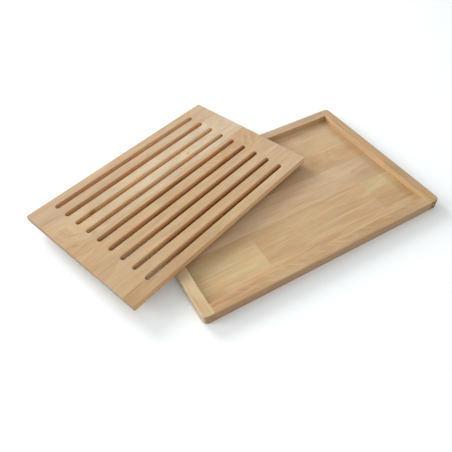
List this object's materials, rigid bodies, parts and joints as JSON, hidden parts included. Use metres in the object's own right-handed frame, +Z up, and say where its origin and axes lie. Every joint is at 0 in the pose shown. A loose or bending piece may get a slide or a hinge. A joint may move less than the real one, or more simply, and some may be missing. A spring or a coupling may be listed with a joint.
{
  "type": "bread board with crumb tray",
  "caption": "Wooden bread board: a round-cornered crumb tray glued up from strips and staves, with a loose slotted cutting board laid askew across one end of it.",
  "frame": {"origin": "middle of the tray's underside, on the table", "axes": "+X along the tray to the right, +Y to the back, +Z up; the slotted board overhangs at the left and back"},
  "size_m": [0.6472, 0.4703, 0.031],
  "materials": {
    "tray_wood": "smooth, lightly oiled",
    "board_wood": "smooth, lightly oiled"
  },
  "bodies": {
    "tray": {"tray_end_strip_left": "tray_wood", "tray_end_strip_right": "tray_wood", "tray_long_strip_front": "tray_wood", "tray_long_strip_back": "tray_wood", "tray_floor_stave_1": "tray_wood", "tray_floor_stave_2_left": "tray_wood", "tray_floor_stave_2_middle": "tray_wood", "tray_floor_stave_2_right": "tray_wood", "tray_floor_stave_3": "tray_wood", "tray_floor_stave_4": "tray_wood", "tray_floor_stave_5": "tray_wood", "tray_floor_stave_6": "tray_wood"},
    "slotted_board": {"board_stave_1": "board_wood", "board_stave_2": "board_wood", "board_stave_3": "board_wood", "board_stave_4": "board_wood", "board_stave_5": "board_wood"}
  },
  "joints": [
    {"name": "board_lift", "type": "slide", "parent": "tray", "child": "slotted_board", "axis": [0, 0, 1], "range_m": [0, 0.12]}
  ]
}
